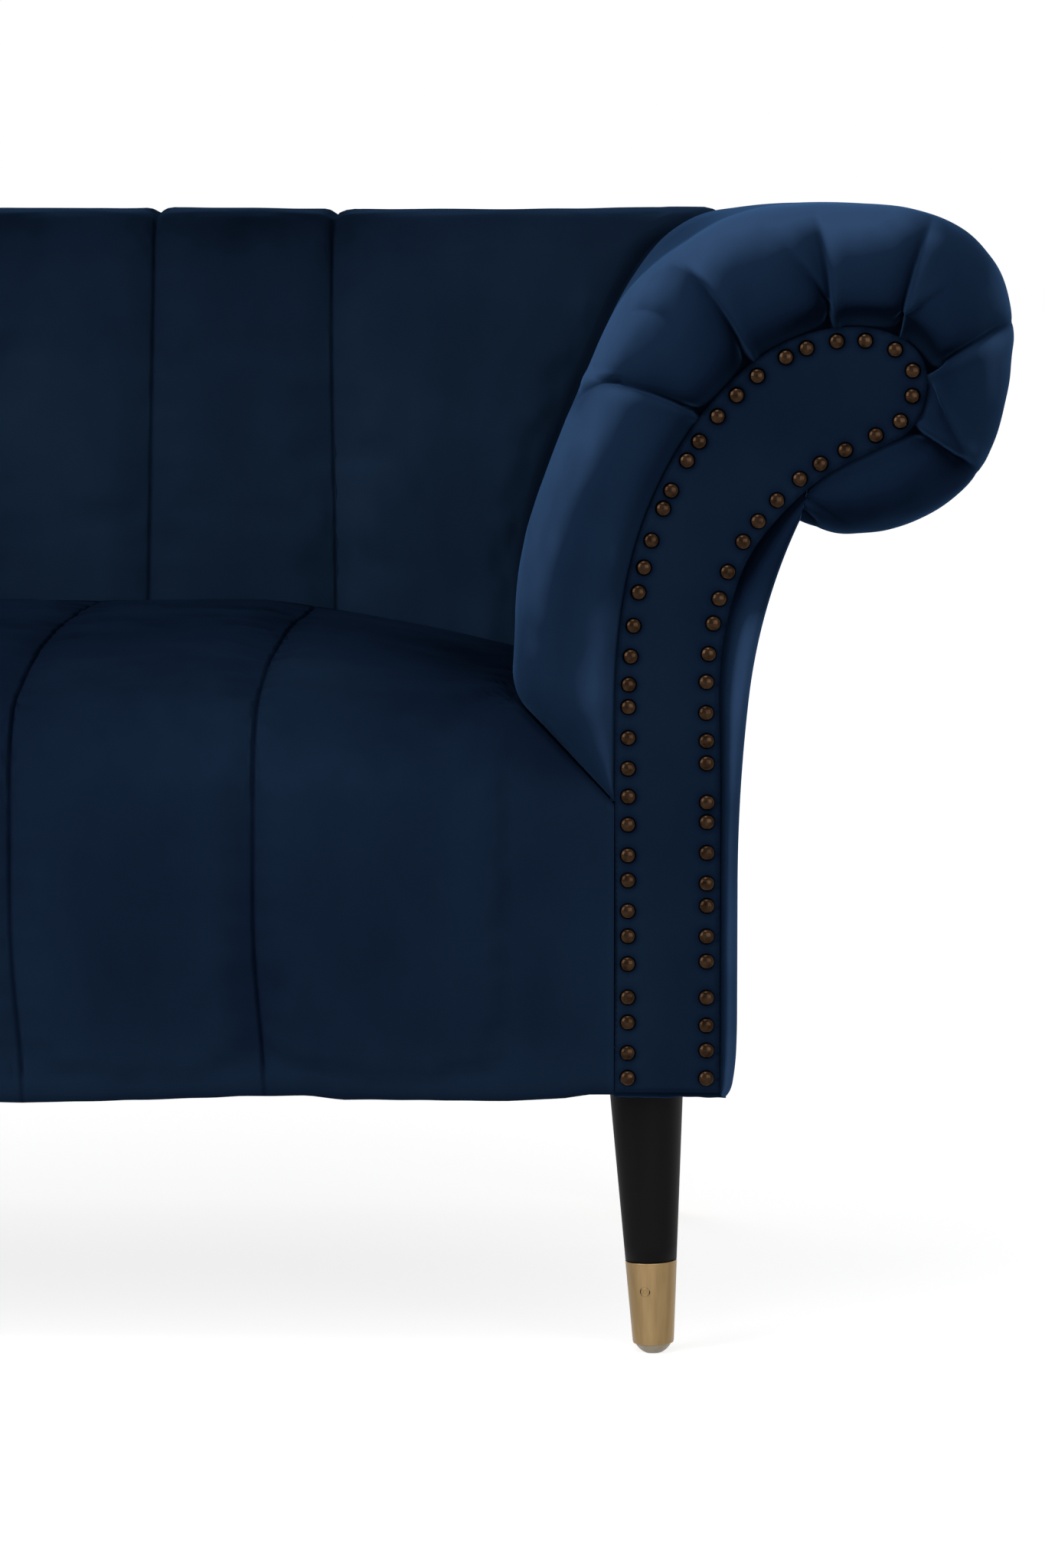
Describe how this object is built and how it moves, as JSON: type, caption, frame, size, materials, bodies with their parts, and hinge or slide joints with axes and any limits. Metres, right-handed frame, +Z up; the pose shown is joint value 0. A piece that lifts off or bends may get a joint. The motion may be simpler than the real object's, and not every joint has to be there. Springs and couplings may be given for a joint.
{
  "type": "two-seater sofa",
  "caption": "Two-seater sofa with scroll arms, nail-trimmed facings, a tight channelled velvet seat and back, and round tapered legs in brass ferrules.",
  "frame": {"origin": "on the floor, below the middle of the sofa's box", "axes": "+X along the sofa to the viewer's right, +Y from the front edge to the back, +Z up"},
  "size_m": [1.68, 0.79, 0.79],
  "materials": {
    "velvet": "matte",
    "foam": "matte",
    "timber": "matte",
    "hardboard": "matte",
    "spring_steel": "satin",
    "plated_steel": "satin",
    "webbing": "matte",
    "hessian": "matte",
    "dust_cloth": "matte",
    "bronze": "satin",
    "black_wood": "satin",
    "brass": "satin",
    "glide_plastic": "satin"
  },
  "bodies": {
    "root": {"seat_cover": "velvet", "back_cover": "velvet", "outside_back_cover": "velvet", "right_arm_cover": "velvet", "left_arm_cover": "velvet", "right_facing": "velvet", "left_facing": "velvet", "right_outside_arm_cover": "velvet", "left_outside_arm_cover": "velvet", "right_arm_rear_panel": "velvet", "left_arm_rear_panel": "velvet", "seat_foam": "foam", "back_foam": "foam", "right_arm_foam": "foam", "left_arm_foam": "foam", "front_rail": "timber", "rear_rail": "timber", "right_side_rail": "timber", "left_side_rail": "timber", "seat_stretchers": "timber", "leg_blocks": "timber", "frame_dowels": "timber", "back_posts": "timber", "back_top_rail": "timber", "back_tack_rail": "timber", "right_arm_front_board": "timber", "left_arm_front_board": "timber", "right_arm_rear_board": "timber", "left_arm_rear_board": "timber", "right_arm_top_rail": "timber", "left_arm_top_rail": "timber", "right_arm_neck_rail": "timber", "left_arm_neck_rail": "timber", "right_arm_tack_rail": "timber", "left_arm_tack_rail": "timber", "right_arm_liner": "hardboard", "left_arm_liner": "hardboard", "right_outside_arm_board": "hardboard", "left_outside_arm_board": "hardboard", "outside_back_board": "hardboard", "seat_springs": "spring_steel", "spring_clips": "spring_steel", "hanger_bolts": "plated_steel", "tee_nuts": "plated_steel", "back_webbing": "webbing", "seat_hessian": "hessian", "dust_cover": "dust_cloth", "right_facing_nails": "bronze", "left_facing_nails": "bronze", "front_right_leg": "black_wood", "front_left_leg": "black_wood", "rear_right_leg": "black_wood", "rear_left_leg": "black_wood", "front_right_ferrule": "brass", "front_left_ferrule": "brass", "rear_right_ferrule": "brass", "rear_left_ferrule": "brass", "glides": "glide_plastic"}
  },
  "joints": []
}
